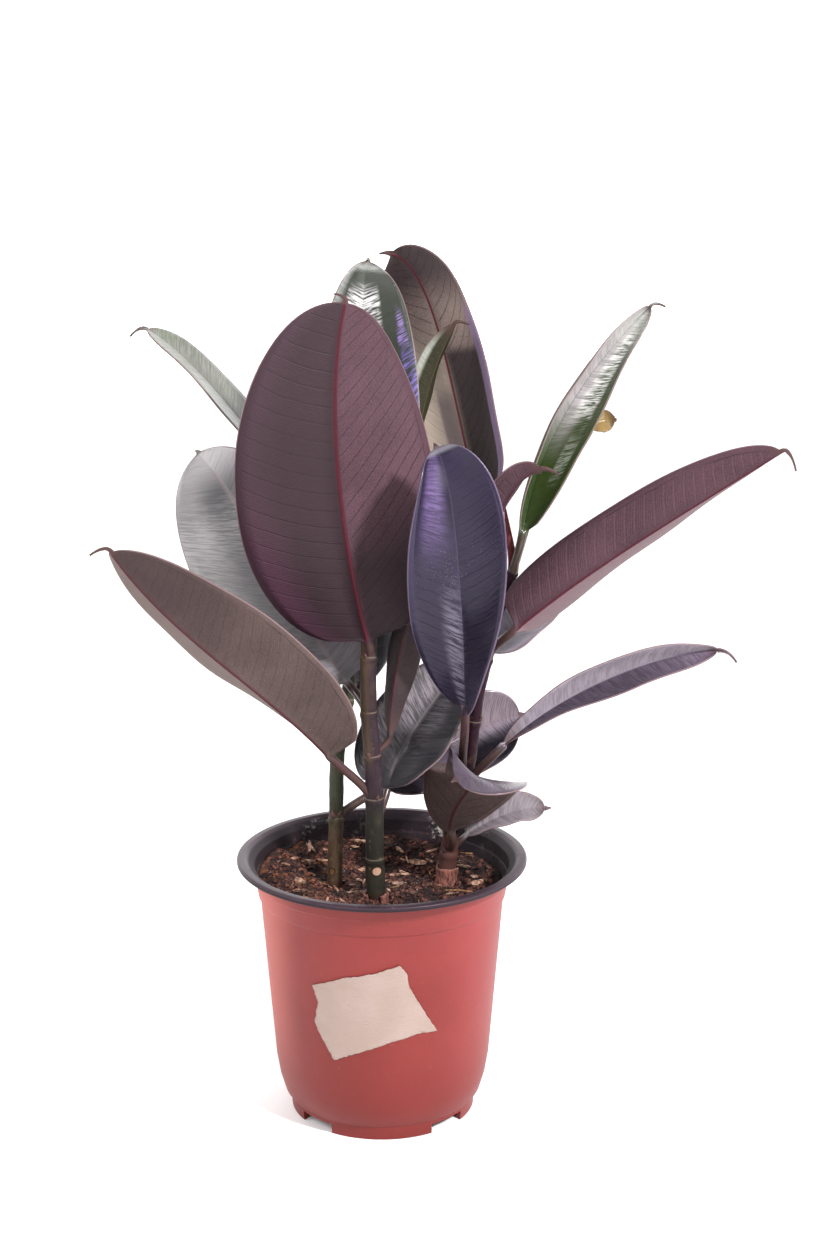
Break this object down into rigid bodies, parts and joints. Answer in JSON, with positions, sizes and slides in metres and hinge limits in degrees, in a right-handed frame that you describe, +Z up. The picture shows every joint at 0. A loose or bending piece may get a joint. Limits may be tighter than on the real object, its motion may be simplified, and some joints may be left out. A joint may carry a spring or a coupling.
{
  "type": "potted rubber plant",
  "caption": "Broad-leaved rubber plant cuttings with burgundy and dark green leaves, rooted in a round terracotta-coloured nursery pot with a bare tape label.",
  "frame": {"origin": "middle of the pot's foot, on the surface it stands on", "axes": "+Z up along the pot's axis, -Y towards the front, +X to the front view's right"},
  "size_m": [0.383, 0.1741, 0.507],
  "materials": {
    "pot_plastic": "satin moulded plastic, terracotta outside, black-purple rim and inside",
    "crepe_paper_tape": "matte crepe paper",
    "potting_soil": "loose damp bark and peat mix",
    "stem_bark": "smooth young bark, olive brown to purple",
    "leaf_burgundy": "glossy above, matte mauve brown beneath",
    "leaf_green": "glossy dark green above, olive beneath",
    "leaf_purple": "glossy blue-purple above, mauve beneath",
    "leaf_yellow": "satin yellowing leaf"
  },
  "bodies": {
    "root": {"nursery_pot": "pot_plastic", "masking_tape_label": "crepe_paper_tape", "potting_soil": "potting_soil", "stem_left": "stem_bark", "stem_middle": "stem_bark", "stem_right": "stem_bark", "leaf_front_broad": "leaf_burgundy", "leaf_left_low": "leaf_burgundy", "leaf_left_back": "leaf_green", "leaf_left_top": "leaf_green", "leaf_top_centre": "leaf_green", "leaf_top_tall": "leaf_burgundy", "leaf_young_olive": "leaf_green", "leaf_front_purple": "leaf_purple", "leaf_small_red": "leaf_burgundy", "leaf_right_green": "leaf_green", "leaf_yellow_small": "leaf_yellow", "leaf_right_long": "leaf_burgundy", "leaf_right_back": "leaf_purple", "leaf_right_low": "leaf_purple", "leaf_centre_low": "leaf_green", "leaf_low_behind": "leaf_purple", "leaf_narrow_mid": "leaf_burgundy", "leaf_folded_front": "leaf_burgundy", "leaf_small_right": "leaf_purple", "leaf_back_mid": "leaf_burgundy"}
  },
  "joints": []
}
